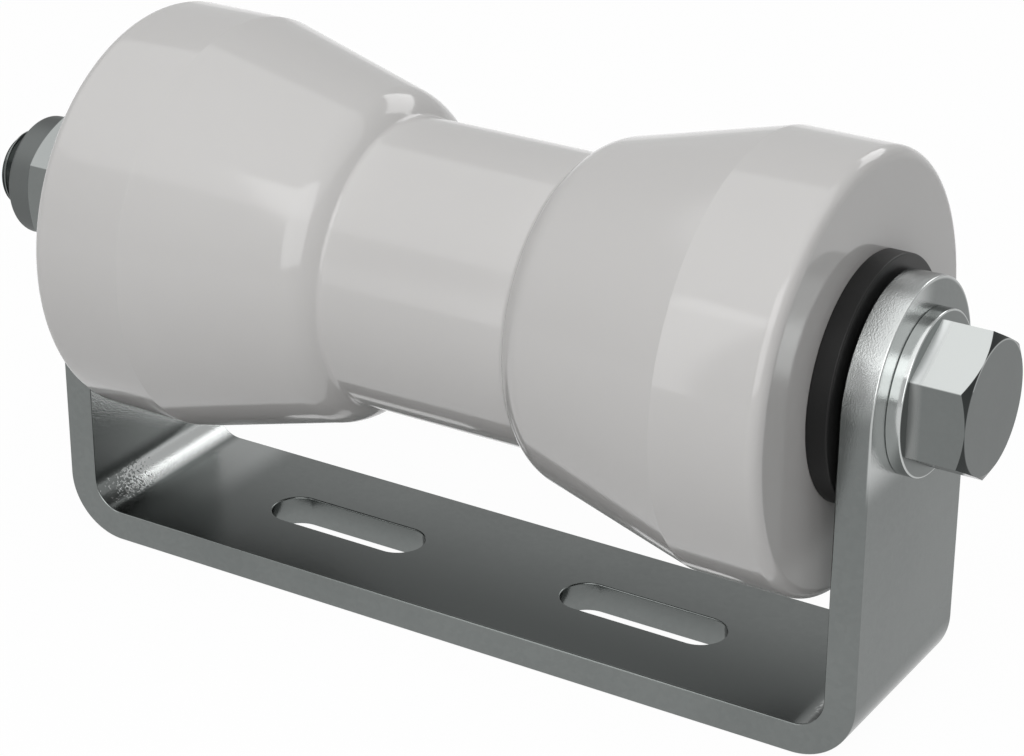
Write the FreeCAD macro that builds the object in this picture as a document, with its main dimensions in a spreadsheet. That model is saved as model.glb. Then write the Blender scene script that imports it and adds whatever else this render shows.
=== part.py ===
"""Boat trailer keel roller on a bent strip bracket.

A waisted polyurethane roller turns on a long hexagon bolt between the two ears of a U-shaped bracket.
X runs along the bolt with the head at +X, Z is up, and the origin is the centre of the bracket's underside.
"""
import FreeCAD, Part
import Sketcher

import math
import os

SIZES = [
    # bracket
    ("strip_width", 50.0, "width of the flat bar that the bracket is bent from"),
    ("strip_thickness", 7.5, "thickness of the flat bar"),
    ("bend_inner_radius", 7.5, "inside radius of both bends"),
    ("strip_edge_radius", 0.4, "rolled edge of the flat bar"),
    ("axis_height", 81.5, "bolt axis above the bracket's underside"),
    ("ear_hole_diameter", 21.0, "clearance hole for the bolt in each ear"),
    ("slot_width", 13.0, "width of the two mounting slots"),
    ("slot_length", 43.0, "slot length over its round ends"),
    ("slot_spacing", 83.5, "distance between the slot centres"),
    # roller
    ("roller_length", 188.5, "roller over its two end faces"),
    ("flange_radius", 50.0, "radius of the roller's two ends"),
    ("flange_land", 25.0, "straight stretch at each end before the cone starts"),
    ("end_fillet", 3.0, "rounding between the land and the end face"),
    ("ridge_radius", 1.5, "blend between the land and the cone"),
    ("shoulder_radius", 12.0, "round shoulder where the cone drops to the waist"),
    ("shoulder_drop", 5.7, "depth of the shoulder's centre below the waist's surface"),
    ("waist_radius", 34.5, "radius of the waist"),
    ("waist_length", 48.6, "straight length of the waist"),
    ("waist_root_radius", 1.6, "inside fillet at each end of the waist"),
    ("end_play", 1.25, "gap between a bush flange and the ear beside it"),
    # bushes
    ("bush_flange_radius", 28.0, "radius of the thrust flange"),
    ("bush_flange_thickness", 5.0, "thickness of the thrust flange"),
    ("bush_sleeve_wall", 5.0, "wall of the sleeve inside the roller"),
    ("bush_sleeve_length", 32.0, "sleeve length inside the roller"),
    ("bush_edge_radius", 0.4, "rounding of the flange rim"),
    ("bush_lead_chamfer", 1.0, "lead-in at the inner end of the sleeve"),
    ("running_clearance", 0.08, "radial gap between the bolt and the bush bore"),
    # bolt, washers and lock nut
    ("bolt_diameter", 20.0, "thread and shank diameter"),
    ("bolt_protrusion", 7.2, "thread that stands out of the nut"),
    ("bolt_end_chamfer", 1.4, "chamfer at the end of the thread"),
    ("head_across_flats", 30.0, "hexagon of the head"),
    ("head_height", 13.0, "height of the head"),
    ("head_turn", 0.3, "turn of the head's hexagon about the bolt, in degrees"),
    ("washer_radius", 18.5, "outside radius of both washers"),
    ("washer_thickness", 3.4, "thickness of both washers"),
    ("washer_hole_diameter", 21.0, "hole in both washers"),
    ("washer_edge_radius", 0.3, "rounding of the washer's rim"),
    ("nut_across_flats", 30.0, "hexagon of the nut"),
    ("nut_hexagon_height", 13.5, "height of the nut's hexagon"),
    ("nut_height", 20.0, "height of the nut with its collar"),
    ("nut_turn", 0.2, "turn of the nut's hexagon about the bolt, in degrees"),
    ("collar_radius", 14.8, "outside radius of the nut's collar"),
    ("collar_edge_radius", 0.8, "rolled edge of the collar"),
    ("collar_lip", 0.9, "thickness of the lip that is rolled over the insert"),
    ("lip_opening_radius", 11.2, "hole in the rolled lip"),
    ("insert_radius", 12.7, "outside radius of the plastic locking ring"),
    ("insert_thickness", 3.8, "thickness of the plastic locking ring"),
    ("hexagon_chamfer_angle", 30.0, "chamfer on the hexagons' corners, in degrees"),
    ("hexagon_face_share", 0.995, "round end face of a hexagon as a share of its width across flats"),
]

doc = FreeCAD.newDocument("KeelRoller")
sheet = doc.addObject("Spreadsheet::Sheet", "Sizes")
for row, (alias, value, note) in enumerate(SIZES, start=1):
    sheet.set(f"A{row}", alias)
    sheet.set(f"B{row}", str(value))
    sheet.set(f"C{row}", note)
    sheet.setAlias(f"B{row}", alias)
doc.recompute()

# Sizes that follow from the driving ones, written as expressions on the sheet
HALF_ROLLER = "Sizes.roller_length / 2"
INSIDE = "(Sizes.roller_length / 2 + Sizes.bush_flange_thickness + Sizes.end_play)"
OUTSIDE = f"({INSIDE} + Sizes.strip_thickness)"
BEND_OUTER = "(Sizes.bend_inner_radius + Sizes.strip_thickness)"
BOLT_RADIUS = "(Sizes.bolt_diameter / 2)"
BUSH_BORE = f"({BOLT_RADIUS} + Sizes.running_clearance)"
ROLLER_BORE = f"({BUSH_BORE} + Sizes.bush_sleeve_wall)"
SHANK_LENGTH = f"(2 * {OUTSIDE} + 2 * Sizes.washer_thickness + Sizes.nut_height + Sizes.bolt_protrusion)"

pieces = []


def number(expression):
    """The value of an expression on the sheet."""
    result = sheet.evalExpression(expression.replace("Sizes.", ""))
    return float(getattr(result, "Value", result))


def new_body(label):
    """An empty body that becomes the sub-part of that name."""
    body = doc.addObject("PartDesign::Body", label)
    body.Label = label
    pieces.append(body)
    return body


def origin_plane(body, role):
    """One of the body's own origin planes or axes, by its role."""
    return next(feature for feature in body.Origin.OriginFeatures if feature.Role == role)


def new_sketch(body, name, role):
    """A sketch on one of the body's origin planes."""
    sketch = body.newObject("Sketcher::SketchObject", name)
    sketch.AttachmentSupport = (origin_plane(body, role), [""])
    sketch.MapMode = "FlatFace"
    return sketch


def bind(sketch, kind, *where_and_expression):
    """Adds a dimension to the sketch and binds it to an expression on the sheet."""
    *where, expression = where_and_expression
    index = sketch.addConstraint(Sketcher.Constraint(kind, *where, number(expression)))
    sketch.setExpression(f"Constraints[{index}]", expression)
    return index


def place_point(sketch, line, end, across, up):
    """Holds one end of a line at two distances from the sketch's origin."""
    for kind, expression in (("DistanceX", across), ("DistanceY", up)):
        bind(sketch, kind, -1, 1, line, end, expression)


def polygon(sketch, corners):
    """A closed outline of straight lines through corners given as pairs of expressions."""
    points = [FreeCAD.Vector(number(across), number(up), 0) for across, up in corners]
    count = len(points)
    lines = [
        sketch.addGeometry(Part.LineSegment(points[i], points[(i + 1) % count]), False)
        for i in range(count)
    ]
    for i, line in enumerate(lines):
        sketch.addConstraint(Sketcher.Constraint("Coincident", line, 2, lines[(i + 1) % count], 1))
        place_point(sketch, line, 1, *corners[i])
    return lines


def round_shape(body, name, feature_type, corners):
    """A solid or a cut turned about the bolt's axis from an outline of (along, radius) pairs."""
    sketch = new_sketch(body, name + "_outline", "XZ_Plane")
    polygon(sketch, corners)
    feature = body.newObject(feature_type, name)
    feature.Profile = sketch
    feature.ReferenceAxis = (sketch, ["H_Axis"])
    feature.Angle = 360.0
    doc.recompute()
    return feature


def hexagon(body, name, across_flats, height, turn):
    """A hexagonal prism about the bolt's axis, with a corner straight up at no turn."""
    sketch = new_sketch(body, name + "_outline", "YZ_Plane")
    radius = number(across_flats) / math.sqrt(3)
    angles = [math.radians(60 * i + 30 + number(turn)) for i in range(6)]
    points = [FreeCAD.Vector(radius * math.cos(a), radius * math.sin(a), 0) for a in angles]
    centre = sketch.addGeometry(Part.Circle(FreeCAD.Vector(), FreeCAD.Vector(0, 0, 1), radius), True)
    sketch.addConstraint(Sketcher.Constraint("Coincident", centre, 3, -1, 1))
    bind(sketch, "Radius", centre, f"{across_flats} / sqrt(3)")
    sides = [
        sketch.addGeometry(Part.LineSegment(points[i], points[(i + 1) % 6]), False)
        for i in range(6)
    ]
    for i, side in enumerate(sides):
        sketch.addConstraint(Sketcher.Constraint("Coincident", side, 2, sides[(i + 1) % 6], 1))
        sketch.addConstraint(Sketcher.Constraint("PointOnObject", side, 1, centre))
        if i:
            sketch.addConstraint(Sketcher.Constraint("Equal", sides[0], side))
    spoke = sketch.addGeometry(Part.LineSegment(FreeCAD.Vector(), points[0]), True)
    sketch.addConstraint(Sketcher.Constraint("Coincident", spoke, 1, -1, 1))
    sketch.addConstraint(Sketcher.Constraint("Coincident", spoke, 2, sides[0], 1))
    index = sketch.addConstraint(Sketcher.Constraint("Angle", -1, 1, spoke, 1, angles[0]))
    sketch.setExpression(f"Constraints[{index}]", f"(30 + {turn}) * 1 deg")
    pad = body.newObject("PartDesign::Pad", name)
    pad.Profile = sketch
    pad.setExpression("Length", height)
    doc.recompute()
    return pad


def corner_chamfer(body, name, across_flats, face_at, outward):
    """Turns the corners of a hexagon down to a cone whose face is as wide as its flats."""
    corner = f"{across_flats} / sqrt(3) + 1"
    face_radius = f"{across_flats} / 2 * Sizes.hexagon_face_share"
    depth = f"({corner} - {face_radius}) * tan(Sizes.hexagon_chamfer_angle)"
    return round_shape(body, name, "PartDesign::Groove", [
        (face_at, face_radius),
        (f"{face_at} + {outward} * 1", face_radius),
        (f"{face_at} + {outward} * 1", corner),
        (f"{face_at} - {outward} * {depth}", corner),
    ])


def circle_edges(feature, wanted):
    """Names of the feature's full circles that lie at the wanted (along, radius) pairs."""
    names = []
    for i, edge in enumerate(feature.Shape.Edges, start=1):
        curve = edge.Curve
        if not isinstance(curve, Part.Circle) or abs(curve.Axis.x) < 0.99:
            continue
        for along, radius in wanted:
            if abs(curve.Center.x - along) < 1e-4 and abs(curve.Radius - radius) < 1e-4:
                names.append(f"Edge{i}")
    return names


def round_edges(body, name, edges, radius, kind="PartDesign::Fillet"):
    """A fillet or chamfer on named edges of the body's last feature."""
    last = body.Tip
    feature = body.newObject(kind, name)
    feature.Base = (last, edges)
    feature.setExpression("Radius" if kind.endswith("Fillet") else "Size", radius)
    doc.recompute()
    return feature


def make_bracket():
    """U-shaped bracket: one length of flat bar, bent twice, with round ears, two slots and a bolt hole."""
    body = new_body("bracket")
    top = "Sizes.axis_height + Sizes.strip_width / 2"
    sketch = new_sketch(body, "bracket_profile", "XZ_Plane")
    polygon(sketch, [
        (f"-{OUTSIDE}", "0"), (OUTSIDE, "0"), (OUTSIDE, top), (INSIDE, top),
        (INSIDE, "Sizes.strip_thickness"), (f"-{INSIDE}", "Sizes.strip_thickness"),
        (f"-{INSIDE}", top), (f"-{OUTSIDE}", top),
    ])
    strip = body.newObject("PartDesign::Pad", "bracket_strip")
    strip.Profile = sketch
    strip.Midplane = True
    strip.setExpression("Length", "Sizes.strip_width")
    doc.recompute()

    def bends(feature, across, up):
        return [
            f"Edge{i}" for i, edge in enumerate(feature.Shape.Edges, start=1)
            if abs(abs(edge.CenterOfMass.x) - number(across)) < 1e-4
            and abs(edge.CenterOfMass.z - number(up)) < 1e-4
            and abs(edge.Length - number("Sizes.strip_width")) < 1e-4
        ]

    outer = round_edges(body, "outer_bends", bends(strip, OUTSIDE, "0"), BEND_OUTER)
    round_edges(body, "inner_bends", bends(outer, INSIDE, "Sizes.strip_thickness"), "Sizes.bend_inner_radius")

    # The ears are cut to a half round about the bolt
    sketch = new_sketch(body, "ear_cut", "YZ_Plane")
    half = number("Sizes.strip_width / 2")
    axis = number("Sizes.axis_height")
    beyond = half + 1.0
    arc = sketch.addGeometry(Part.ArcOfCircle(
        Part.Circle(FreeCAD.Vector(0, axis, 0), FreeCAD.Vector(0, 0, 1), half), 0, math.pi), False)
    corners = [(half, axis), (beyond, axis), (beyond, axis + beyond), (-beyond, axis + beyond),
               (-beyond, axis), (-half, axis)]
    lines = [
        sketch.addGeometry(Part.LineSegment(FreeCAD.Vector(*start, 0), FreeCAD.Vector(*end, 0)), False)
        for start, end in zip(corners, corners[1:])
    ]
    bind(sketch, "DistanceX", -1, 1, arc, 3, "0")
    bind(sketch, "DistanceY", -1, 1, arc, 3, "Sizes.axis_height")
    bind(sketch, "Radius", arc, "Sizes.strip_width / 2")
    bind(sketch, "DistanceY", -1, 1, arc, 1, "Sizes.axis_height")
    bind(sketch, "DistanceY", -1, 1, arc, 2, "Sizes.axis_height")
    sketch.addConstraint(Sketcher.Constraint("Coincident", arc, 1, lines[0], 1))
    sketch.addConstraint(Sketcher.Constraint("Coincident", arc, 2, lines[-1], 2))
    for before, after in zip(lines, lines[1:]):
        sketch.addConstraint(Sketcher.Constraint("Coincident", before, 2, after, 1))
    side = "Sizes.strip_width / 2 + 1"
    place_point(sketch, lines[1], 1, side, "Sizes.axis_height")
    place_point(sketch, lines[1], 2, side, f"Sizes.axis_height + {side}")
    place_point(sketch, lines[3], 1, f"-({side})", f"Sizes.axis_height + {side}")
    place_point(sketch, lines[3], 2, f"-({side})", "Sizes.axis_height")
    ears = body.newObject("PartDesign::Pocket", "round_ears")
    ears.Profile = sketch
    ears.Type = "ThroughAll"
    ears.Midplane = True
    doc.recompute()

    # One hole on the bolt's axis goes through both ears
    sketch = new_sketch(body, "ear_hole_circle", "YZ_Plane")
    hole = sketch.addGeometry(Part.Circle(
        FreeCAD.Vector(0, axis, 0), FreeCAD.Vector(0, 0, 1), number("Sizes.ear_hole_diameter / 2")), False)
    bind(sketch, "DistanceX", -1, 1, hole, 3, "0")
    bind(sketch, "DistanceY", -1, 1, hole, 3, "Sizes.axis_height")
    bind(sketch, "Radius", hole, "Sizes.ear_hole_diameter / 2")
    holes = body.newObject("PartDesign::Pocket", "ear_holes")
    holes.Profile = sketch
    holes.Type = "ThroughAll"
    holes.Midplane = True
    doc.recompute()

    # Two slots along the strip in its base
    sketch = new_sketch(body, "slot_outlines", "XY_Plane")
    for side in ("-", ""):
        slot_outline(sketch, f"{side}Sizes.slot_spacing / 2")
    slots = body.newObject("PartDesign::Pocket", "mounting_slots")
    slots.Profile = sketch
    slots.Type = "ThroughAll"
    slots.Midplane = True
    doc.recompute()

    # The long edges of the bar keep their rolled rounding, all along the U
    half = number("Sizes.strip_width / 2")
    rim = [
        f"Edge{i}" for i, edge in enumerate(slots.Shape.Edges, start=1)
        if is_strip_edge(edge, half)
    ]
    round_edges(body, "rolled_edges", rim, "Sizes.strip_edge_radius")
    return body


def is_strip_edge(edge, half):
    """True for the outline edges of the strip: on its two sides or round its ears, and along its faces."""
    box = edge.BoundBox
    on_side = box.YLength < 1e-6 and abs(abs(box.YMin) - half) < 1e-4
    round_ear = isinstance(edge.Curve, Part.Circle) and abs(edge.Curve.Radius - half) < 1e-4
    level = box.XLength > 1e-6 and box.ZLength < 1e-6
    across_ear = level and box.XLength < number("Sizes.strip_thickness") + 1e-4
    return (on_side or round_ear) and not across_ear


def slot_outline(sketch, centre):
    """One slot: two half circles joined by two tangent lines, centred at that place along X."""
    radius = number("Sizes.slot_width / 2")
    reach = "(Sizes.slot_length - Sizes.slot_width) / 2"
    ends = []
    for sign, first, last in (("+", -math.pi / 2, math.pi / 2), ("-", math.pi / 2, 3 * math.pi / 2)):
        along = f"{centre} {sign} {reach}"
        circle = Part.Circle(FreeCAD.Vector(number(along), 0, 0), FreeCAD.Vector(0, 0, 1), radius)
        arc = sketch.addGeometry(Part.ArcOfCircle(circle, first, last), False)
        bind(sketch, "DistanceX", -1, 1, arc, 3, along)
        bind(sketch, "DistanceY", -1, 1, arc, 3, "0")
        bind(sketch, "Radius", arc, "Sizes.slot_width / 2")
        ends.append((arc, number(along)))
    (right, right_at), (left, left_at) = ends
    top = sketch.addGeometry(Part.LineSegment(
        FreeCAD.Vector(right_at, radius, 0), FreeCAD.Vector(left_at, radius, 0)), False)
    bottom = sketch.addGeometry(Part.LineSegment(
        FreeCAD.Vector(left_at, -radius, 0), FreeCAD.Vector(right_at, -radius, 0)), False)
    for arc_end in ((right, 2, top, 1), (top, 2, left, 1), (left, 2, bottom, 1), (bottom, 2, right, 1)):
        sketch.addConstraint(Sketcher.Constraint("Tangent", *arc_end))


def roller_half_outline(body):
    """The right half of the roller's outline: bore, end face, land, ridge, cone, shoulder and half the waist.

    The shoulder's centre lies below the waist's surface, so the shoulder meets the waist at a steep angle,
    and the cone runs from the ridge to wherever it touches the shoulder.
    """
    waist_end = "Sizes.waist_length / 2"
    ridge_at = f"{HALF_ROLLER} - Sizes.flange_land"
    centre_at = f"{waist_end} + sqrt(Sizes.shoulder_radius ^ 2 - Sizes.shoulder_drop ^ 2)"
    centre_up = "Sizes.waist_radius - Sizes.shoulder_drop"
    half, bore_radius = number(HALF_ROLLER), number(ROLLER_BORE)
    flange, waist_radius = number("Sizes.flange_radius"), number("Sizes.waist_radius")
    shoulder, ridge = number("Sizes.shoulder_radius"), number("Sizes.ridge_radius")
    centre = FreeCAD.Vector(number(centre_at), number(centre_up), 0)
    corner = FreeCAD.Vector(number(ridge_at), flange, 0)
    waist = FreeCAD.Vector(number(waist_end), waist_radius, 0)
    middle = FreeCAD.Vector(0, waist_radius, 0)

    # The cone touches the shoulder where the radius stands square to it, and the ridge rounds its other end
    reach = corner - centre
    square = math.atan2(reach.y, reach.x) + math.acos(shoulder / reach.Length)
    outward = FreeCAD.Vector(math.cos(square), math.sin(square), 0)
    setback = ridge * math.tan((square - math.pi / 2) / 2)
    land_end = corner + FreeCAD.Vector(setback, 0, 0)
    ridge_centre = land_end - FreeCAD.Vector(0, ridge, 0)
    waist_angle = math.atan2(waist.y - centre.y, waist.x - centre.x)

    sketch = new_sketch(body, "roller_outline", "XZ_Plane")

    def line(first, last):
        return sketch.addGeometry(Part.LineSegment(first, last), False)

    def rounding(middle_point, radius, first_angle, last_angle):
        circle = Part.Circle(middle_point, FreeCAD.Vector(0, 0, 1), radius)
        return sketch.addGeometry(Part.ArcOfCircle(circle, first_angle, last_angle), False)

    inside = line(middle, FreeCAD.Vector(0, bore_radius, 0))
    bore = line(FreeCAD.Vector(0, bore_radius, 0), FreeCAD.Vector(half, bore_radius, 0))
    face = line(FreeCAD.Vector(half, bore_radius, 0), FreeCAD.Vector(half, flange, 0))
    land = line(FreeCAD.Vector(half, flange, 0), land_end)
    ridge_arc = rounding(ridge_centre, ridge, math.pi / 2, square)
    cone = line(ridge_centre + outward * ridge, centre + outward * shoulder)
    shoulder_arc = rounding(centre, shoulder, square, waist_angle)
    half_waist = line(waist, middle)
    corner_point = sketch.addGeometry(Part.Point(corner), True)

    ends = [(inside, bore), (bore, face), (face, land), (shoulder_arc, half_waist), (half_waist, inside)]
    for before, after in ends:
        sketch.addConstraint(Sketcher.Constraint("Coincident", before, 2, after, 1))
    for before, after in ((land, ridge_arc), (ridge_arc, cone), (cone, shoulder_arc)):
        sketch.addConstraint(Sketcher.Constraint("Tangent", before, 2, after, 1))
    sketch.addConstraint(Sketcher.Constraint("Horizontal", land))
    sketch.addConstraint(Sketcher.Constraint("Horizontal", half_waist))
    sketch.addConstraint(Sketcher.Constraint("PointOnObject", corner_point, 1, cone))
    place_point(sketch, bore, 1, "0", ROLLER_BORE)
    place_point(sketch, face, 1, HALF_ROLLER, ROLLER_BORE)
    place_point(sketch, land, 1, HALF_ROLLER, "Sizes.flange_radius")
    place_point(sketch, corner_point, 1, ridge_at, "Sizes.flange_radius")
    place_point(sketch, shoulder_arc, 3, centre_at, centre_up)
    bind(sketch, "Radius", ridge_arc, "Sizes.ridge_radius")
    bind(sketch, "Radius", shoulder_arc, "Sizes.shoulder_radius")
    bind(sketch, "DistanceX", -1, 1, shoulder_arc, 2, waist_end)
    bind(sketch, "DistanceX", -1, 1, half_waist, 2, "0")
    return sketch


def make_roller():
    """Moulded roller: two straight lands, two cones with round shoulders, and a waist for the keel."""
    body = new_body("roller")
    sketch = roller_half_outline(body)
    turned = body.newObject("PartDesign::Revolution", "roller_half")
    turned.Profile = sketch
    turned.ReferenceAxis = (sketch, ["H_Axis"])
    turned.Angle = 360.0
    doc.recompute()
    whole = body.newObject("PartDesign::Mirrored", "roller_whole")
    whole.Originals = [turned]
    whole.MirrorPlane = (origin_plane(body, "YZ_Plane"), [""])
    body.Tip = whole
    doc.recompute()

    half, flange = number(HALF_ROLLER), number("Sizes.flange_radius")
    waist_end, waist = number("Sizes.waist_length / 2"), number("Sizes.waist_radius")
    rims = circle_edges(whole, [(half, flange), (-half, flange)])
    round_edges(body, "end_rounding", rims, "Sizes.end_fillet")
    roots = circle_edges(body.Tip, [(waist_end, waist), (-waist_end, waist)])
    round_edges(body, "waist_roots", roots, "Sizes.waist_root_radius")
    body.setExpression("Placement.Base.z", "Sizes.axis_height")
    return body


def make_bush(label, side):
    """Flanged plain bush: its sleeve is pressed into the roller, and its flange takes the side load."""
    body = new_body(label)
    inner = BUSH_BORE
    outer = ROLLER_BORE
    chamfer = "Sizes.bush_lead_chamfer"
    turned = round_shape(body, label + "_turned", "PartDesign::Revolution", [
        ("-Sizes.bush_sleeve_length", inner),
        ("-Sizes.bush_sleeve_length", f"{outer} - {chamfer}"),
        (f"-Sizes.bush_sleeve_length + {chamfer}", outer),
        ("0", outer),
        ("0", "Sizes.bush_flange_radius"),
        ("Sizes.bush_flange_thickness", "Sizes.bush_flange_radius"),
        ("Sizes.bush_flange_thickness", inner),
    ])
    rim = circle_edges(turned, [(number("Sizes.bush_flange_thickness"), number("Sizes.bush_flange_radius"))])
    round_edges(body, label + "_rim", rim, "Sizes.bush_edge_radius")
    stand_on_axis(body, f"{side} * {HALF_ROLLER}", side)
    return body


def stand_on_axis(body, along, side):
    """Moves a turned piece to its place on the bolt's axis, turned end for end on the nut's side."""
    if side < 0:
        body.Placement.Rotation = FreeCAD.Rotation(FreeCAD.Vector(0, 0, 1), 180)
    body.setExpression("Placement.Base.x", along)
    body.setExpression("Placement.Base.z", "Sizes.axis_height")


def make_washer(label, side):
    """Flat washer between an ear and the bolt's head or the nut."""
    body = new_body(label)
    hole = "Sizes.washer_hole_diameter / 2"
    turned = round_shape(body, label + "_turned", "PartDesign::Revolution", [
        ("0", hole),
        ("0", "Sizes.washer_radius"),
        ("Sizes.washer_thickness", "Sizes.washer_radius"),
        ("Sizes.washer_thickness", hole),
    ])
    radius, thick = number("Sizes.washer_radius"), number("Sizes.washer_thickness")
    round_edges(body, label + "_rim", circle_edges(turned, [(0.0, radius), (thick, radius)]),
                "Sizes.washer_edge_radius")
    stand_on_axis(body, f"{side} * {OUTSIDE}", side)
    return body


def make_bolt():
    """Hexagon-head bolt: plain shank and thread in one, with the underside of the head at its origin."""
    body = new_body("bolt")
    chamfer = "Sizes.bolt_end_chamfer"
    round_shape(body, "shank", "PartDesign::Revolution", [
        (f"-{SHANK_LENGTH}", "0"),
        (f"-{SHANK_LENGTH}", f"{BOLT_RADIUS} - {chamfer}"),
        (f"-{SHANK_LENGTH} + {chamfer}", BOLT_RADIUS),
        ("Sizes.head_height / 2", BOLT_RADIUS),
        ("Sizes.head_height / 2", "0"),
    ])
    hexagon(body, "head", "Sizes.head_across_flats", "Sizes.head_height", "Sizes.head_turn")
    corner_chamfer(body, "head_chamfer", "Sizes.head_across_flats", "Sizes.head_height", "1")
    stand_on_axis(body, f"{OUTSIDE} + Sizes.washer_thickness", 1)
    return body


def make_lock_nut():
    """Self-locking nut: a hexagon with a round collar whose lip is rolled over a plastic ring."""
    body = new_body("lock_nut")
    hexagon(body, "nut_hexagon", "Sizes.nut_across_flats", "Sizes.nut_hexagon_height", "Sizes.nut_turn")
    corner_chamfer(body, "nut_outer_chamfer", "Sizes.nut_across_flats", "Sizes.nut_hexagon_height", "1")
    corner_chamfer(body, "nut_bearing_chamfer", "Sizes.nut_across_flats", "0", "-1")
    collar = round_shape(body, "collar", "PartDesign::Revolution", [
        ("Sizes.nut_hexagon_height / 2", "0"),
        ("Sizes.nut_hexagon_height / 2", "Sizes.collar_radius"),
        ("Sizes.nut_height", "Sizes.collar_radius"),
        ("Sizes.nut_height", "0"),
    ])
    rim = circle_edges(collar, [(number("Sizes.nut_height"), number("Sizes.collar_radius"))])
    round_edges(body, "rolled_rim", rim, "Sizes.collar_edge_radius")
    # Bore, seat of the plastic ring, and the mouth that the rolled lip leaves
    seat_end = "Sizes.nut_height - Sizes.collar_lip"
    seat_start = f"{seat_end} - Sizes.insert_thickness"
    round_shape(body, "bore_and_seat", "PartDesign::Groove", [
        ("-1", "0"),
        ("-1", BOLT_RADIUS),
        (seat_start, BOLT_RADIUS),
        (seat_start, "Sizes.insert_radius"),
        (seat_end, "Sizes.insert_radius"),
        (seat_end, "Sizes.lip_opening_radius"),
        ("Sizes.nut_height + 1", "Sizes.lip_opening_radius"),
        ("Sizes.nut_height + 1", "0"),
    ])
    stand_on_axis(body, f"-({OUTSIDE} + Sizes.washer_thickness)", -1)
    return body


def make_nut_insert():
    """Plastic ring inside the nut's collar that grips the thread."""
    body = new_body("nut_insert")
    end = "Sizes.nut_height - Sizes.collar_lip"
    start = f"{end} - Sizes.insert_thickness"
    round_shape(body, "insert_turned", "PartDesign::Revolution", [
        (start, BOLT_RADIUS),
        (start, "Sizes.insert_radius"),
        (end, "Sizes.insert_radius"),
        (end, BOLT_RADIUS),
    ])
    stand_on_axis(body, f"-({OUTSIDE} + Sizes.washer_thickness)", -1)
    return body


def check_and_write():
    """Stops on any failed feature or bad solid, then writes one STEP file for each sub-part."""
    doc.recompute()
    for item in doc.Objects:
        if {"Invalid", "Error"} & set(item.State):
            raise RuntimeError(f"{item.Name} failed: {item.State}")
    os.makedirs("parts", exist_ok=True)
    for body in pieces:
        shape = body.Shape
        if shape.isNull() or not shape.isValid() or not shape.Solids:
            raise RuntimeError(f"{body.Label} is not a valid solid")
        shape.exportStep(f"parts/{body.Label}.step")
        print(f"{body.Label}: {len(shape.Solids)} solid, {shape.Volume / 1000:.2f} cm3")


make_bracket()
make_roller()
make_bush("bush_right", 1)
make_bush("bush_left", -1)
make_washer("washer_head", 1)
make_washer("washer_nut", -1)
make_bolt()
make_lock_nut()
make_nut_insert()
check_and_write()
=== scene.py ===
"""Boat trailer keel roller: a waisted roller on a long bolt in a bent strip bracket.

Metres, in the CAD frame: X along the bolt towards its head, -Y to the front, Z up.
"""

import math

import bmesh
import bpy
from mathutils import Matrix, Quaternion, Vector


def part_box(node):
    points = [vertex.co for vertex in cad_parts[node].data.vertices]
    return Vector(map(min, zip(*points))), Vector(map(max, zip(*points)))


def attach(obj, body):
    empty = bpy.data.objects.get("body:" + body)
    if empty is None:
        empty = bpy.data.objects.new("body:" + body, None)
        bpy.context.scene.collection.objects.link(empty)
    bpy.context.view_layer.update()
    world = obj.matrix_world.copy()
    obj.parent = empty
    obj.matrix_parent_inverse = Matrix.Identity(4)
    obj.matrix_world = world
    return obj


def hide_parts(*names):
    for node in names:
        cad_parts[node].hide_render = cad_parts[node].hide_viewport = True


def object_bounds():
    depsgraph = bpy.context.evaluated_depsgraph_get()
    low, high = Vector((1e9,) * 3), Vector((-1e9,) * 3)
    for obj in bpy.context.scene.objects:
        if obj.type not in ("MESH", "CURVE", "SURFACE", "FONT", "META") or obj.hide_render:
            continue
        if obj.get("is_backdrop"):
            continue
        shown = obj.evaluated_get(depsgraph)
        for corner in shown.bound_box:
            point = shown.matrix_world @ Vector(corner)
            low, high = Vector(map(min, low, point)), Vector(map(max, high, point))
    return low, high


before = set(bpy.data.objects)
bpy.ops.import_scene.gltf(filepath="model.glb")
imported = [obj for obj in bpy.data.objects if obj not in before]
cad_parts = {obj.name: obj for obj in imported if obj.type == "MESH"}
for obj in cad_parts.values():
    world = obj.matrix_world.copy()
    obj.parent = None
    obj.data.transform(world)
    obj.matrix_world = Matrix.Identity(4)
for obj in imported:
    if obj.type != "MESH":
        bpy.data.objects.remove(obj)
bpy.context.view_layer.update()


# Bracket
# One length of 50 x 7.5 mm flat bar, sheared, punched and bent to a U on a press brake, then hot-dip
# galvanised. Its round ears carry the bolt, and two slots in its base take the bolts that hold it down.

bracket_low, bracket_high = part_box("bracket")
strip_width = bracket_high.y - bracket_low.y
strip_thickness = 0.0075
bend_inner_radius = 0.0075
strip_edge_radius = 0.0004
axis_height = bracket_high.z - strip_width / 2
ear_outside = bracket_high.x
ear_hole_radius = 0.0105
slot_centre = 0.04175
slot_length = 0.043
slot_width = 0.013


def pick(kind, test):
    """In edit mode, selects just those corners or edges that pass the test."""
    bpy.ops.mesh.select_all(action="DESELECT")
    bpy.ops.mesh.select_mode(type={"verts": "VERT", "edges": "EDGE"}[kind])
    data = bpy.context.edit_object.data
    shape = bmesh.from_edit_mesh(data)
    for item in getattr(shape, kind):
        if test(item):
            item.select_set(True)
    shape.select_flush_mode()
    bmesh.update_edit_mesh(data)


def start(name, add, **shape):
    """Adds a primitive, puts its place into its mesh, and opens it for editing."""
    bpy.ops.object.select_all(action="DESELECT")
    add(**shape)
    piece = bpy.context.active_object
    piece.name = name
    bpy.ops.object.transform_apply(location=True, rotation=True, scale=True)
    bpy.ops.object.mode_set(mode="EDIT")
    return piece


def add_modifier(piece, kind, **settings):
    """Adds a modifier with these settings and applies it."""
    bpy.context.view_layer.objects.active = piece
    modifier = piece.modifiers.new(kind.lower(), kind)
    for name, value in settings.items():
        setattr(modifier, name, value)
    bpy.ops.object.modifier_apply(modifier=modifier.name)


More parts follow.
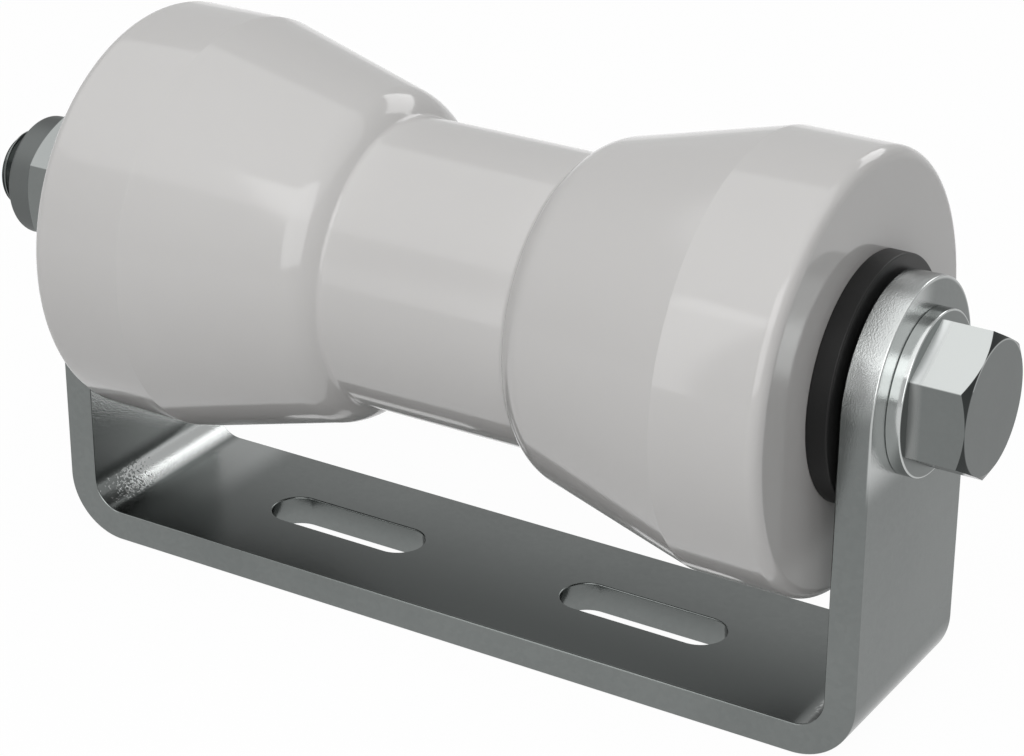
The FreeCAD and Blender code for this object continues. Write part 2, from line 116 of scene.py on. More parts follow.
def combine(piece, tool, operation):
    """Cuts, joins or crops the piece with another mesh, which is then removed."""
    add_modifier(piece, "BOOLEAN", object=tool, operation=operation, solver="EXACT")
    bpy.data.objects.remove(tool)


def smooth(piece):
    """Smooth shading, broken at edges sharper than 25 degrees."""
    bpy.ops.object.select_all(action="DESELECT")
    piece.select_set(True)
    bpy.context.view_layer.objects.active = piece
    bpy.ops.object.shade_smooth_by_angle(angle=math.radians(25))


def soft_edges(piece, width):
    """Rounds edges sharper than 38 degrees a little and keeps the flats flat in the shading."""
    add_modifier(piece, "BEVEL", width=width, segments=4, limit_method="ANGLE",
                 angle_limit=math.radians(38))
    smooth(piece)
    add_modifier(piece, "WEIGHTED_NORMAL", weight=50, keep_sharp=True)


bend_middle_radius = bend_inner_radius + strip_thickness / 2
ear_middle = ear_outside - strip_thickness / 2
bracket = start("bracket_strip", bpy.ops.mesh.primitive_circle_add, vertices=128, radius=strip_width / 2,
                fill_type="NGON", location=(ear_middle, 0, axis_height), rotation=(0, math.pi / 2, 0))
bpy.ops.mesh.select_all(action="SELECT")
bpy.ops.mesh.bisect(plane_co=(0, 0, axis_height), plane_no=(0, 0, -1), clear_outer=True)
pick("edges", lambda edge: all(abs(corner.co.z - axis_height) < 1e-5 for corner in edge.verts))
bend_top = strip_thickness / 2 + bend_middle_radius
bpy.ops.mesh.extrude_region_move(TRANSFORM_OT_translate={"value": (0, 0, bend_top - axis_height)})
bpy.ops.mesh.spin(steps=24, angle=-math.pi / 2, axis=(0, 1, 0),
                  center=(ear_middle - bend_middle_radius, 0, bend_top))
bpy.ops.mesh.extrude_region_move(TRANSFORM_OT_translate={"value": (bend_middle_radius - ear_middle, 0, 0)})
bpy.ops.mesh.select_all(action="SELECT")
bpy.ops.mesh.remove_doubles(threshold=1e-6)
bpy.ops.mesh.normals_make_consistent(inside=False)
bpy.ops.object.mode_set(mode="OBJECT")
add_modifier(bracket, "MIRROR", use_axis=(True, False, False), merge_threshold=1e-5)
add_modifier(bracket, "SOLIDIFY", thickness=strip_thickness, offset=0, use_even_offset=True)

ear_drill = start("ear_drill", bpy.ops.mesh.primitive_cylinder_add, vertices=96, radius=ear_hole_radius,
                  depth=3 * ear_outside, location=(0, 0, axis_height), rotation=(0, math.pi / 2, 0))
bpy.ops.object.mode_set(mode="OBJECT")
combine(bracket, ear_drill, "DIFFERENCE")
slot_reach = (slot_length - slot_width) / 2
slot_sides = 64
for side in (-1, 1):
    # Turned by half a side, so that no corner of the punch lies at the middle of the slot
    punch = start("slot_punch", bpy.ops.mesh.primitive_cylinder_add, vertices=slot_sides,
                  radius=slot_width / 2, depth=4 * strip_thickness, location=(side * slot_centre, 0, 0),
                  rotation=(0, 0, math.pi / slot_sides))
    for end in (-1, 1):
        pick("verts", lambda corner: (corner.co.x - side * slot_centre) * end > 1e-5)
        bpy.ops.transform.translate(value=(end * slot_reach, 0, 0))
    bpy.ops.object.mode_set(mode="OBJECT")
    combine(bracket, punch, "DIFFERENCE")
soft_edges(bracket, strip_edge_radius)


def add_node(tree, kind, values=None, **settings):
    """A shader node with its properties set and its inputs given as numbers or as links."""
    node = tree.nodes.new(kind)
    for name, value in settings.items():
        setattr(node, name, value)
    for name, value in (values or {}).items():
        if isinstance(value, bpy.types.NodeSocket):
            tree.links.new(value, node.inputs[name])
        else:
            node.inputs[name].default_value = value
    return node


def new_group(name, inputs, outputs):
    """An empty node group with these input values and outputs."""
    group = bpy.data.node_groups.new(name, "ShaderNodeTree")
    group.interface.new_socket("Vector", in_out="INPUT", socket_type="NodeSocketVector")
    for label, value in inputs.items():
        socket = group.interface.new_socket(label, in_out="INPUT", socket_type="NodeSocketFloat")
        socket.default_value = value
    for label in outputs:
        group.interface.new_socket(label, in_out="OUTPUT", socket_type="NodeSocketFloat")
    return group, group.nodes.new("NodeGroupInput"), group.nodes.new("NodeGroupOutput")


def new_material(name, **constants):
    """A material whose Principled BSDF has these constants set on its own sockets."""
    material = bpy.data.materials.new(name)
    material.use_nodes = True
    shader = material.node_tree.nodes["Principled BSDF"]
    for label, value in constants.items():
        shader.inputs[label.replace("_", " ")].default_value = value
    place = material.node_tree.nodes.new("ShaderNodeTexCoord").outputs["Object"]
    return material, material.node_tree, shader, place


# Zinc on steel, shared by the galvanised bar and the plated bolt: cloudy patches, crystals and fine grain
zinc_group, given, result = new_group(
    "zinc_skin", {"Cloud Scale": 30.0, "Crystal Scale": 400.0, "Grain Scale": 2500.0},
    ("Cloud", "Crystal", "Grain"))
cloud = add_node(zinc_group, "ShaderNodeTexNoise", {
    "Vector": given.outputs["Vector"], "Scale": given.outputs["Cloud Scale"], "Detail": 3.0,
    "Roughness": 0.55})
crystal = add_node(zinc_group, "ShaderNodeTexVoronoi", {
    "Vector": given.outputs["Vector"], "Scale": given.outputs["Crystal Scale"]}, feature="F1")
crystal_value = add_node(zinc_group, "ShaderNodeSeparateColor", {"Color": crystal.outputs["Color"]})
grain = add_node(zinc_group, "ShaderNodeTexNoise", {
    "Vector": given.outputs["Vector"], "Scale": given.outputs["Grain Scale"], "Detail": 2.0,
    "Roughness": 0.6})
zinc_group.links.new(cloud.outputs["Fac"], result.inputs["Cloud"])
zinc_group.links.new(crystal_value.outputs["Red"], result.inputs["Crystal"])
zinc_group.links.new(grain.outputs["Fac"], result.inputs["Grain"])


def zinc_material(name, dark, light, rough_low, rough_high, scales, bump_strength, bump_distance,
                  marks=(), **constants):
    """Bare zinc: cloud and crystal vary its grey and its gloss, and the grain roughens it.

    Each mark is a mask, made by a function, with its own colour, roughness and coarseness of grain.
    """
    material, tree, shader, place = new_material(name, Metallic=1.0, **constants)
    skin = add_node(tree, "ShaderNodeGroup", node_tree=zinc_group)
    tree.links.new(place, skin.inputs["Vector"])
    for label, value in scales.items():
        skin.inputs[label].default_value = value
    crystal_share = 0.22
    patch_low, patch_high = 0.35, 0.85
    mixed = add_node(tree, "ShaderNodeMath", {0: skin.outputs["Crystal"], 1: crystal_share},
                     operation="MULTIPLY")
    patch = add_node(tree, "ShaderNodeMath", {0: skin.outputs["Cloud"], 1: mixed.outputs["Value"]},
                     operation="ADD")
    patches = {"Value": patch.outputs["Value"], "From Min": patch_low, "From Max": patch_high}
    spread = add_node(tree, "ShaderNodeMapRange", patches)
    colour = add_node(tree, "ShaderNodeMix", {"Factor": spread.outputs["Result"]}, data_type="RGBA")
    colour.inputs[6].default_value = (*dark, 1.0)
    colour.inputs[7].default_value = (*light, 1.0)
    rough = add_node(tree, "ShaderNodeMapRange", {**patches, "To Min": rough_low, "To Max": rough_high})
    skin_colour, skin_rough, relief = colour.outputs[2], rough.outputs["Result"], skin.outputs["Grain"]
    for make_mask, mark_colour, mark_rough, mark_grain in marks:
        mask = make_mask(tree, place)
        marked = add_node(tree, "ShaderNodeMix", {"Factor": mask}, data_type="RGBA")
        tree.links.new(skin_colour, marked.inputs[6])
        marked.inputs[7].default_value = (*mark_colour, 1.0)
        gloss = add_node(tree, "ShaderNodeMix", {"Factor": mask}, data_type="FLOAT")
        tree.links.new(skin_rough, gloss.inputs[2])
        gloss.inputs[3].default_value = mark_rough
        coarser = add_node(tree, "ShaderNodeMath", {0: mask, 1: mark_grain, 2: 1.0},
                           operation="MULTIPLY_ADD")
        coarse = add_node(tree, "ShaderNodeMath", {0: relief, 1: coarser.outputs["Value"]},
                          operation="MULTIPLY")
        skin_colour, skin_rough, relief = marked.outputs[2], gloss.outputs[0], coarse.outputs["Value"]
    tree.links.new(skin_colour, shader.inputs["Base Color"])
    tree.links.new(skin_rough, shader.inputs["Roughness"])
    bump = add_node(tree, "ShaderNodeBump", {"Height": relief, "Strength": bump_strength,
                                             "Distance": bump_distance})
    tree.links.new(bump.outputs["Normal"], shader.inputs["Normal"])
    return material


def ramp(tree, value, first, last):
    """A mask that goes smoothly from 0 at first to 1 at last."""
    low, high, to_low, to_high = (first, last, 0.0, 1.0) if first < last else (last, first, 1.0, 0.0)
    return add_node(tree, "ShaderNodeMapRange", {"Value": value, "From Min": low, "From Max": high,
                                                 "To Min": to_low, "To Max": to_high},
                    interpolation_type="SMOOTHSTEP").outputs["Result"]


def merge(tree, operation, *masks):
    """Masks put together: MULTIPLY is where all are 1, and MAXIMUM is where any is."""
    merged = masks[0]
    for mask in masks[1:]:
        joined = add_node(tree, "ShaderNodeMath", {0: merged, 1: mask}, operation=operation)
        merged = joined.outputs["Value"]
    return merged


def length(tree, vector, origin, axes):
    """How far a place is from an origin, measured along these axes only."""
    offset = add_node(tree, "ShaderNodeVectorMath", {0: vector, 1: origin}, operation="SUBTRACT")
    flat = add_node(tree, "ShaderNodeVectorMath", {0: offset.outputs["Vector"], 1: axes},
                    operation="MULTIPLY")
    far = add_node(tree, "ShaderNodeVectorMath", {0: flat.outputs["Vector"]}, operation="LENGTH")
    return far.outputs["Value"]


def from_axis(tree, place):
    """How far a place is from the bolt's axis."""
    return length(tree, place, (0, 0, axis_height), (0, 1, 1))


def split(tree, vector):
    """The three numbers of a place."""
    parts = add_node(tree, "ShaderNodeSeparateXYZ", {"Vector": vector})
    return parts.outputs["X"], parts.outputs["Y"], parts.outputs["Z"]


def scaled(tree, mask, share):
    """A mask, weakened."""
    return add_node(tree, "ShaderNodeMath", {0: mask, 1: share}, operation="MULTIPLY").outputs["Value"]


bend_at = ear_outside - strip_thickness - bend_inner_radius
bend_up = strip_thickness + bend_inner_radius
half_width = strip_width / 2
ear_inner = bend_at + bend_inner_radius
# How far from a surface or an edge the bar's marks are whole, and where they have faded out
skin_full = 0.0003
skin_gone = 0.0008
edge_gone = 0.0005
speckle_scale = 1500.0
speckle_shift = 0.05
inner_face_light_share = 0.8
base_end_share = 0.7
washer_reflection_radius = 0.0183


def bar_painted_light(tree, place):
    """Painted highlights in the bends and on the ears' round ends, painted light inside the U, and painted
    washer reflections.
    """
    folded = add_node(tree, "ShaderNodeVectorMath", {0: place}, operation="ABSOLUTE").outputs["Vector"]
    along, from_middle, up = split(tree, folded)
    signed_along, across, _ = split(tree, place)
    off_edge = ramp(tree, from_middle, half_width - skin_full, half_width - edge_gone)
    speckle = add_node(tree, "ShaderNodeTexNoise", {"Vector": place, "Scale": speckle_scale, "Detail": 2.0})
    broken = add_node(tree, "ShaderNodeMath", {0: speckle.outputs["Fac"], 1: speckle_shift, 2: across},
                      operation="MULTIPLY_ADD").outputs["Value"]
    # Painted highlight: a bright band along the inside of each bend, broken up by the speckle
    bend_highlight = merge(
        tree, "MULTIPLY", ramp(tree, along, bend_at + 0.0015, bend_at + 0.003),
        ramp(tree, up, bend_up - 0.001, bend_up - 0.0025),
        ramp(tree, length(tree, folded, (bend_at, 0, bend_up), (1, 0, 1)),
             bend_inner_radius + skin_gone, bend_inner_radius + skin_full),
        ramp(tree, broken, 0.009, 0.014))
    # Painted light: the ears' inner faces and the base's ends inside the U are painted brighter
    ear_inside = merge(
        tree, "MULTIPLY", ramp(tree, up, bend_up - 0.001, bend_up + 0.003),
        ramp(tree, along, ear_inner + skin_gone, ear_inner + skin_full))
    base_end = merge(
        tree, "MULTIPLY", ramp(tree, up, strip_thickness - skin_gone, strip_thickness - skin_full),
        ramp(tree, signed_along, 0.019 - bend_at, 0.009 - bend_at),
        ramp(tree, signed_along, -bend_at - 0.002, -bend_at + 0.001), ramp(tree, across, -0.02, -0.002))
    inner_face_light = scaled(tree, merge(tree, "MAXIMUM", ear_inside, scaled(tree, base_end, base_end_share)),
                       inner_face_light_share)
    bolt_distance = from_axis(tree, place)
    # Painted highlight on the upper part of each ear's round end
    round_end = merge(
        tree, "MULTIPLY", ramp(tree, bolt_distance, half_width - 0.0009, half_width - skin_full),
        ramp(tree, up, axis_height, axis_height + 0.012))
    # Painted reflection: a bright ring on each ear's outer face around its washer, the washer as if
    # mirrored there
    by_washer = merge(
        tree, "MULTIPLY", ramp(tree, along, ear_outside - 0.0006, ear_outside - 0.0002),
        ramp(tree, bolt_distance, washer_reflection_radius - 0.001, washer_reflection_radius),
        ramp(tree, across, 0.004, -0.008), ramp(tree, up, axis_height - 0.018, axis_height - 0.008))
    inside = merge(tree, "MULTIPLY", merge(tree, "MAXIMUM", bend_highlight, inner_face_light), off_edge)
    return merge(tree, "MAXIMUM", inside, round_end, by_washer)


def base_front_shade(tree, place):
    """Painted shade: the base's top towards the front, painted darker under the roller."""
    along, across, up = split(tree, place)
    return merge(
        tree, "MULTIPLY", ramp(tree, up, 0.001, strip_thickness - skin_full),
        ramp(tree, up, strip_thickness + 0.004, strip_thickness + 0.001),
        ramp(tree, across, half_width, -half_width + 0.004),
        ramp(tree, across, -half_width + 0.0001, -half_width + 0.0008),
        ramp(tree, add_node(tree, "ShaderNodeMath", {0: along}, operation="ABSOLUTE").outputs["Value"],
             bend_at + 0.003, bend_at - 0.001))


# Colour of the bar's painted highlights, painted light and painted reflections
bar_highlight_zinc = (0.47, 0.485, 0.48)
# Colour of the painted shade on the base's top, under the roller
base_shade_zinc = (0.085, 0.092, 0.09)
galvanised = zinc_material(
    "galvanised_steel", dark=(0.165, 0.176, 0.173), light=(0.19, 0.202, 0.198), rough_low=0.14,
    rough_high=0.22, scales={"Cloud Scale": 22.0, "Crystal Scale": 900.0, "Grain Scale": 2600.0},
    bump_strength=0.12, bump_distance=0.00015,
    marks=[(bar_painted_light, bar_highlight_zinc, 0.16, 2.5), (base_front_shade, base_shade_zinc, 0.2, 0.0)],
    Specular_Tint=(0.8, 0.8, 0.8, 1.0))
bracket.data.materials.clear()
bracket.data.materials.append(galvanised)
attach(bracket, "holder")
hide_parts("bracket")


# Roller
# One solid moulding of pale grey polyurethane, poured and turned smooth: a straight land at each end,
# a cone, a round shoulder and the waist that the keel runs in. The bolt's bushes sit in its bore.

roller_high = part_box("roller")[1]
roller_half = roller_high.x
land_length = 0.025
flange_radius = roller_high.z - axis_height
land_start = roller_half - land_length
waist_radius = 0.0345
waist_half = 0.0243
shoulder_radius = 0.012
shoulder_drop = 0.0057
root_radius = 0.0016
end_rounding = 0.003
ridge_rounding = 0.0015
bore_radius = 0.01508


def turned(name, first, moves, turns=192):
    """A piece turned about the bolt's axis.

    The outline starts at (along, radius) and runs on in straight lines, or in an arc where a move has
    a centre.
    """
    along, radius = first
    piece = start(name, bpy.ops.mesh.primitive_plane_add, size=0.001,
                  location=(along, 0, axis_height + radius))
    bpy.ops.mesh.select_all(action="SELECT")
    bpy.ops.mesh.merge(type="CENTER")
    for target, *centre in moves:
        if centre:
            (centre_along, centre_radius), = centre
            first_angle = math.atan2(along - centre_along, radius - centre_radius)
            last_angle = math.atan2(target[0] - centre_along, target[1] - centre_radius)
            sweep = (last_angle - first_angle + math.pi) % (2 * math.pi) - math.pi
            steps = max(3, math.ceil(abs(sweep) / math.radians(5)))
            bpy.ops.mesh.spin(steps=steps, angle=-sweep, axis=(0, 1, 0),
                              center=(centre_along, 0, axis_height + centre_radius))
        else:
            step = (target[0] - along, 0, target[1] - radius)
            bpy.ops.mesh.extrude_region_move(TRANSFORM_OT_translate={"value": step})
        along, radius = target
    bpy.ops.mesh.select_all(action="SELECT")
    bpy.ops.mesh.remove_doubles(threshold=1e-7)
    bpy.ops.mesh.spin(steps=turns, angle=2 * math.pi, center=(0, 0, axis_height), axis=(1, 0, 0))
    bpy.ops.mesh.select_all(action="SELECT")
    bpy.ops.mesh.remove_doubles(threshold=1e-6)
    bpy.ops.mesh.normals_make_consistent(inside=False)
    bpy.ops.object.mode_set(mode="OBJECT")
    return piece


def mirrored_outline(half):
    """The moves of a half outline at +X once more, backwards and at -X."""
    points = [half[0]] + [move[0] for move in half[1:]]
    centres = [move[1:] for move in half[1:]]
    return [((-points[i][0], points[i][1]), *[(-c[0], c[1]) for c in centres[i]])
            for i in reversed(range(len(centres)))]


# The shoulder's centre, the root fillet that rolls between shoulder and waist, and where the cone touches
shoulder_at = waist_half + math.sqrt(shoulder_radius ** 2 - shoulder_drop ** 2)
shoulder_up = waist_radius - shoulder_drop
root_at = shoulder_at - math.sqrt((shoulder_radius + root_radius) ** 2 - (shoulder_drop + root_radius) ** 2)
root_up = waist_radius + root_radius
share = shoulder_radius / (shoulder_radius + root_radius)
root_touch = (shoulder_at + (root_at - shoulder_at) * share, shoulder_up + (root_up - shoulder_up) * share)
ridge_reach = math.hypot(land_start - shoulder_at, flange_radius - shoulder_up)
touch_angle = (math.atan2(flange_radius - shoulder_up, land_start - shoulder_at)
               + math.acos(shoulder_radius / ridge_reach))
cone_touch = (shoulder_at + shoulder_radius * math.cos(touch_angle),
              shoulder_up + shoulder_radius * math.sin(touch_angle))
cone_slope = touch_angle - math.pi / 2
ridge_back = ridge_rounding * math.tan(cone_slope / 2)
ridge_end = (land_start - ridge_back * math.cos(cone_slope),
             flange_radius - ridge_back * math.sin(cone_slope))

right_half = [
    (roller_half, bore_radius),
    ((roller_half, flange_radius - end_rounding),),
    ((roller_half - end_rounding, flange_radius),
     (roller_half - end_rounding, flange_radius - end_rounding)),
    ((land_start + ridge_back, flange_radius),),
    (ridge_end, (land_start + ridge_back, flange_radius - ridge_rounding)),
    (cone_touch,),
    (root_touch, (shoulder_at, shoulder_up)),
    ((root_at, waist_radius), (root_at, root_up)),
    ((0, waist_radius),),
]
roller = turned("roller_body", right_half[0],
                right_half[1:] + mirrored_outline(right_half) + [((roller_half, bore_radius),)])
smooth(roller)

# Moulded plastic, shared by the roller, the bushes and the nut's ring: faint mottling and a fine skin
skin_group, given, result = new_group("moulded_skin", {"Mottle Scale": 20.0, "Skin Scale": 900.0},
                                      ("Mottle", "Skin"))
mottle = add_node(skin_group, "ShaderNodeTexNoise", {
    "Vector": given.outputs["Vector"], "Scale": given.outputs["Mottle Scale"], "Detail": 4.0,
    "Roughness": 0.5})
skin = add_node(skin_group, "ShaderNodeTexNoise", {
    "Vector": given.outputs["Vector"], "Scale": given.outputs["Skin Scale"], "Detail": 2.0,
    "Roughness": 0.5})
skin_group.links.new(mottle.outputs["Fac"], result.inputs["Mottle"])
skin_group.links.new(skin.outputs["Fac"], result.inputs["Skin"])


def moulded_material(name, dark, light, rough_low, rough_high, scales, bump_strength, **constants):
    """Moulded plastic: the mottling varies its colour and its gloss a little, under a fine skin."""
    skin_depth = 0.0002
    material, tree, shader, place = new_material(name, **constants)
    surface = add_node(tree, "ShaderNodeGroup", node_tree=skin_group)
    tree.links.new(place, surface.inputs["Vector"])
    for label, value in scales.items():
        surface.inputs[label].default_value = value
    colour = add_node(tree, "ShaderNodeMix", {"Factor": surface.outputs["Mottle"]}, data_type="RGBA")
    colour.inputs[6].default_value = (*dark, 1.0)
    colour.inputs[7].default_value = (*light, 1.0)
    tree.links.new(colour.outputs[2], shader.inputs["Base Color"])
    rough = add_node(tree, "ShaderNodeMapRange", {"Value": surface.outputs["Mottle"], "To Min": rough_low,
                                                  "To Max": rough_high})
    tree.links.new(rough.outputs["Result"], shader.inputs["Roughness"])
    bump = add_node(tree, "ShaderNodeBump", {"Height": surface.outputs["Skin"], "Strength": bump_strength,
                                             "Distance": skin_depth})
    tree.links.new(bump.outputs["Normal"], shader.inputs["Normal"])
    return material


polyurethane = moulded_material(
    "polyurethane", dark=(0.56, 0.551, 0.542), light=(0.595, 0.587, 0.578), rough_low=0.08,
    rough_high=0.12, scales={"Mottle Scale": 14.0, "Skin Scale": 700.0}, bump_strength=0.02, IOR=1.5)
roller.data.materials.append(polyurethane)
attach(roller, "roller")
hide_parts("roller")


# Bushes
# Two black nylon bushes, turned from bar and pressed into the ends of the roller's bore. Their flanges
# keep the roller off the ears and take the side load.

bush_low, bush_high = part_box("bush_right")
bush_flange_radius = bush_high.z - axis_height
bush_bore_radius = 0.01008
bush_edge = 0.0004
bush_lead_in = 0.001
nylon = moulded_material(
    "black_nylon", dark=(0.011, 0.011, 0.011), light=(0.017, 0.017, 0.017), rough_low=0.35,
    rough_high=0.45, scales={"Mottle Scale": 60.0, "Skin Scale": 1800.0}, bump_strength=0.06,
    IOR=1.53, Specular_IOR_Level=0.15)
for node, side in (("bush_right", 1), ("bush_left", -1)):
    inner_end, face, outer_face = (side * x for x in (bush_low.x, roller_half, bush_high.x))
    edge = side * bush_edge
    bush = turned(node + "_body", (inner_end, bush_bore_radius), [
        ((inner_end, bore_radius - bush_lead_in),),
        ((inner_end + side * bush_lead_in, bore_radius),),
        ((face, bore_radius),),
        ((face, bush_flange_radius - bush_edge),),
        ((face + edge, bush_flange_radius), (face + edge, bush_flange_radius - bush_edge)),
        ((outer_face - edge, bush_flange_radius),),
        ((outer_face, bush_flange_radius - bush_edge), (outer_face - edge, bush_flange_radius - bush_edge)),
        ((outer_face, bush_bore_radius + bush_edge),),
        ((outer_face - edge, bush_bore_radius),),
        ((inner_end, bush_bore_radius),),
    ], turns=128)
    smooth(bush)
    bush.data.materials.append(nylon)
    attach(bush, "roller")
    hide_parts(node)


# Bolt
# A forged hexagon bolt, M20 x 250, bright zinc plated: a plain shank with a rolled thread at its nut end,
# and a hexagon head with a chamfered top, whose flat underside bears on the washer.

bolt_low, bolt_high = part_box("bolt")
shank_radius = 0.010
head_flat_radius = 0.015
head_corner_radius = head_flat_radius / math.cos(math.pi / 6)
head_height = 0.013
face_share = 0.995
head_turn = math.radians(0.3)
thread_pitch = 0.0025
thread_root_radius = 0.00855
thread_length = 0.052
thread_runout = 0.0005
thread_spare_turns = 3
neck_drop = 0.0004
point_drop = 0.0014
point_length = 0.0022
point_clearance = 0.0008
bolt_edge = 0.00015
overlap = 0.001
head_seat = bolt_high.x - head_height


def hexagon(name, first, last, corner_radius, turn):
    """A hexagonal bar along the bolt, with a corner straight up."""
    piece = start(name, bpy.ops.mesh.primitive_cylinder_add, vertices=6, radius=corner_radius,
                  depth=last - first, location=((first + last) / 2, 0, axis_height),
                  rotation=(math.pi / 2, turn, math.pi / 2))
    bpy.ops.object.mode_set(mode="OBJECT")
    return piece


def chamfer_gauge(name, first, last, flat_radius, corner_radius, chamfer_first, chamfer_last):
    """The turned shape that a hexagon is cropped to, coned at the ends that ask for it."""
    small, wide = face_share * flat_radius, 1.2 * corner_radius
    drop = (wide - small) * math.tan(math.pi / 6)
    moves = [((first, small if chamfer_first else wide),)]
    if chamfer_first:
        moves.append(((first + drop, wide),))
    if chamfer_last:
        moves += [((last - drop, wide),), ((last, small),)]
    else:
        moves.append(((last, wide),))
    moves.append(((last, 0.0),))
    return turned(name, (first, 0.0), moves)


head = hexagon("bolt_head", head_seat, bolt_high.x, head_corner_radius, head_turn)
combine(head, chamfer_gauge("head_gauge", head_seat - overlap, bolt_high.x, head_flat_radius,
                            head_corner_radius, False, True), "INTERSECT")
thread_start = bolt_low.x + thread_length
shank = turned("bolt_shank", (thread_start - overlap, 0.0), [
    ((thread_start - overlap, thread_root_radius - neck_drop),),
    ((thread_start + thread_runout, shank_radius),),
    ((head_seat + head_height / 2, shank_radius),),
    ((head_seat + head_height / 2, 0.0),),
], turns=96)
combine(head, shank, "UNION")

# The rolled thread is one pitch of its outline, swept along a helix: root, flank, crest and flank
root_run, flank_run, crest_run = (thread_pitch * part for part in (0.25, 0.3125, 0.125))
thread_depth = shank_radius - thread_root_radius
thread = start("bolt_thread", bpy.ops.mesh.primitive_plane_add, size=0.001,
               location=(bolt_low.x - 2 * thread_pitch, 0, axis_height + thread_root_radius))
bpy.ops.mesh.select_all(action="SELECT")
bpy.ops.mesh.merge(type="CENTER")
for run, rise in ((root_run, 0), (flank_run, thread_depth), (crest_run, 0), (flank_run, -thread_depth)):
    bpy.ops.mesh.extrude_region_move(TRANSFORM_OT_translate={"value": (run, 0, rise)})
bpy.ops.object.mode_set(mode="OBJECT")
bpy.context.scene.cursor.location = (0, 0, axis_height)
bpy.ops.object.origin_set(type="ORIGIN_CURSOR")
add_modifier(thread, "SCREW", axis="X", angle=2 * math.pi, screw_offset=thread_pitch, steps=64,
             render_steps=64, iterations=math.ceil(thread_length / thread_pitch) + thread_spare_turns)
bpy.ops.object.transform_apply(location=True, rotation=True, scale=True)
bpy.ops.object.mode_set(mode="EDIT")
bpy.ops.mesh.select_all(action="SELECT")
bpy.ops.mesh.remove_doubles(threshold=2e-5)
for cut, outward in ((bolt_low.x - overlap, -1), (thread_start, 1)):
    bpy.ops.mesh.select_all(action="SELECT")
    bpy.ops.mesh.bisect(plane_co=(cut, 0, 0), plane_no=(outward, 0, 0), use_fill=True, clear_outer=True)
bpy.ops.mesh.select_all(action="SELECT")
bpy.ops.mesh.normals_make_consistent(inside=False)
bpy.ops.object.mode_set(mode="OBJECT")
point_gauge = turned("point_gauge", (bolt_low.x, 0.0), [
    ((bolt_low.x, shank_radius - point_drop),),
    ((bolt_low.x + point_length, shank_radius + point_clearance),),
    ((thread_start + overlap, shank_radius + point_clearance),),
    ((thread_start + overlap, 0.0),),
], turns=96)
combine(thread, point_gauge, "INTERSECT")
combine(head, thread, "UNION")
bolt = head
bolt.name = "bolt_body"
bpy.ops.object.select_all(action="DESELECT")
bolt.select_set(True)
bpy.ops.object.mode_set(mode="EDIT")
bpy.ops.mesh.select_all(action="SELECT")
bpy.ops.mesh.remove_doubles(threshold=2e-6)
bpy.ops.object.mode_set(mode="OBJECT")
soft_edges(bolt, bolt_edge)


def beyond_cone(tree, place, tip, side):
    """Outside a hexagon's 30 degree chamfer cone, whose small end is at tip and faces that side."""
    radius = from_axis(tree, place)
    along = add_node(tree, "ShaderNodeSeparateXYZ", {"Vector": place}).outputs["X"]
    past_tip = add_node(tree, "ShaderNodeMath", {0: along, 1: side, 2: -side * tip},
                        operation="MULTIPLY_ADD")
    from_small = add_node(tree, "ShaderNodeMath", {0: radius, 1: face_share * head_flat_radius},
                          operation="SUBTRACT")
    depth = add_node(tree, "ShaderNodeMath", {0: from_small.outputs["Value"], 1: math.tan(math.pi / 6),
                                              2: past_tip.outputs["Value"]}, operation="MULTIPLY_ADD")
    return ramp(tree, depth.outputs["Value"], -0.0002, -0.00005), from_small.outputs["Value"]


def head_chamfer_shade(tree, place):
    """Painted shade: the head's forged chamfer, painted dark."""
    beyond, from_small = beyond_cone(tree, place, bolt_high.x, 1)
    return merge(tree, "MULTIPLY", beyond, ramp(tree, from_small, 0.0, 0.0002))


def head_foot_reflection(tree, place):
    """The foot of the head's flats, rougher and painted lighter as a painted reflection of the washer
    beside it.
    """
    along = split(tree, place)[0]
    off_axis = from_axis(tree, place)
    return merge(tree, "MULTIPLY", ramp(tree, along, head_seat + 0.0032, head_seat + 0.0012),
                 ramp(tree, off_axis, head_flat_radius - 0.0009, head_flat_radius - 0.0006))


def upper_flats_highlight(tree, place):
    """A hexagon's upper flats, painted lighter as a painted highlight from the light overhead."""
    up = split(tree, place)[2]
    off_axis = from_axis(tree, place)
    lowest = axis_height + head_corner_radius / 2
    return merge(tree, "MULTIPLY",
                 ramp(tree, off_axis, head_flat_radius - 0.0004, head_flat_radius - 0.0001),
                 ramp(tree, up, lowest - 0.0002, lowest))


def head_upper_foot_highlight(tree, place):
    """The foot of the upper flats, painted lightest as a painted highlight."""
    return merge(tree, "MULTIPLY", head_foot_reflection(tree, place), upper_flats_highlight(tree, place))


plating = {"scales": {"Cloud Scale": 60.0, "Crystal Scale": 1500.0, "Grain Scale": 3600.0},
           "bump_strength": 0.06, "bump_distance": 0.00008, "Specular_Tint": (0.7, 0.7, 0.7, 1.0)}
# Colours of painted light on the bolt: painted highlights on the upper flats and at their foot, a painted
# reflection at the foot of the flats, and painted shade on the chamfer
flat_highlight_zinc = (0.43, 0.446, 0.44)
foot_reflection_zinc = (0.3, 0.31, 0.305)
upper_foot_highlight_zinc = (0.6, 0.62, 0.615)
chamfer_shade_zinc = (0.04, 0.044, 0.043)
bolt_zinc = zinc_material(
    "bolt_zinc", dark=(0.158, 0.168, 0.165), light=(0.171, 0.182, 0.179), rough_low=0.12, rough_high=0.17,
    marks=[(upper_flats_highlight, flat_highlight_zinc, 0.15, 0.0), (head_foot_reflection, foot_reflection_zinc, 0.42, 0.0),
           (head_upper_foot_highlight, upper_foot_highlight_zinc, 0.42, 0.0),
           (head_chamfer_shade, chamfer_shade_zinc, 0.25, 0.0)], **plating)
bolt.data.materials.clear()
bolt.data.materials.append(bolt_zinc)
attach(bolt, "holder")
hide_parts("bolt")


